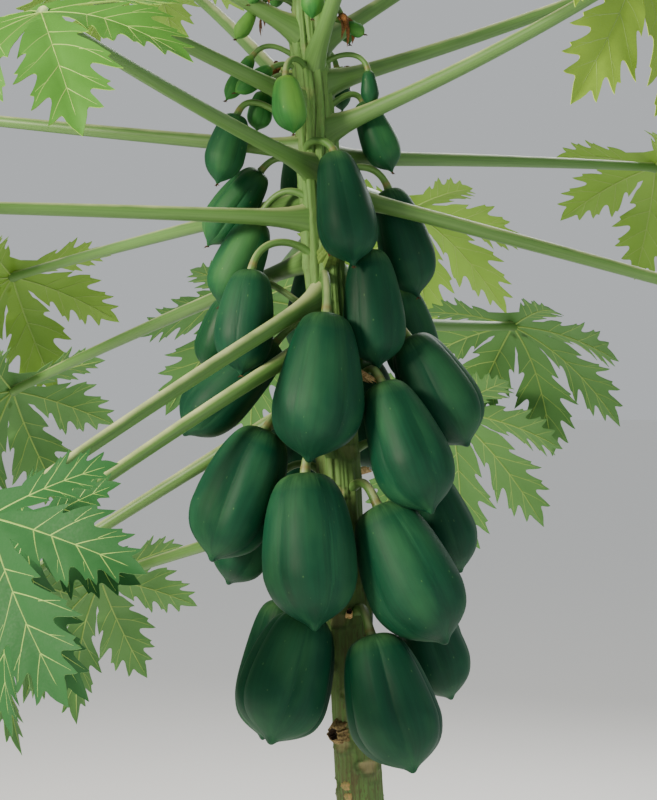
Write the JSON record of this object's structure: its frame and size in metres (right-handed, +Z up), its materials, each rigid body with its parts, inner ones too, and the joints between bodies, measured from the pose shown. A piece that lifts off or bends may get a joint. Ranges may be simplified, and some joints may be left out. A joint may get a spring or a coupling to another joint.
{
  "type": "papaya tree",
  "caption": "Fruiting papaya tree: a slender leaning stem, ribbed green fruit hung close round it on curved stalks, and long-stalked palmate leaves spreading above.",
  "frame": {"origin": "middle of the flat cut under the stem, at ground level", "axes": "+Z up, the stem leans towards -X, and -Y faces the side seen in the picture"},
  "size_m": [1.6932, 1.5781, 2.4377],
  "materials": {
    "stem": "matte",
    "fruit": "satin",
    "leaf": "satin"
  },
  "bodies": {
    "root": {"trunk": "stem", "fruit_01": "fruit", "fruit_02": "fruit", "fruit_03": "fruit", "fruit_04": "fruit", "fruit_05": "fruit", "fruit_06": "fruit", "fruit_07": "fruit", "fruit_08": "fruit", "fruit_09": "fruit", "fruit_10": "fruit", "fruit_11": "fruit", "fruit_12": "fruit", "fruit_13": "fruit", "fruit_14": "fruit", "fruit_15": "fruit", "fruit_16": "fruit", "fruit_17": "fruit", "fruit_18": "fruit", "fruit_19": "fruit", "fruit_20": "fruit", "fruit_21": "fruit", "fruit_22": "fruit", "fruit_23": "fruit", "fruit_24": "fruit", "fruit_25": "fruit", "fruit_26": "fruit", "fruit_27": "fruit", "fruit_28": "fruit", "fruit_29": "fruit", "fruit_30": "fruit", "fruit_31": "fruit", "fruit_32": "fruit", "fruit_33": "fruit", "leaf_01": "leaf", "leaf_02": "leaf", "leaf_03": "leaf", "leaf_04": "leaf", "leaf_05": "leaf", "leaf_06": "leaf", "leaf_07": "leaf", "leaf_08": "leaf", "leaf_09": "leaf", "leaf_10": "leaf", "leaf_11": "leaf", "leaf_12": "leaf", "leaf_13": "leaf", "leaf_14": "leaf", "leaf_15": "leaf", "leaf_16": "leaf", "leaf_17": "leaf", "leaf_18": "leaf", "leaf_19": "leaf", "leaf_20": "leaf", "leaf_21": "leaf", "leaf_22": "leaf", "leaf_23": "leaf", "leaf_24": "leaf", "leaf_25": "leaf", "shoot_tip": "leaf"}
  },
  "joints": []
}
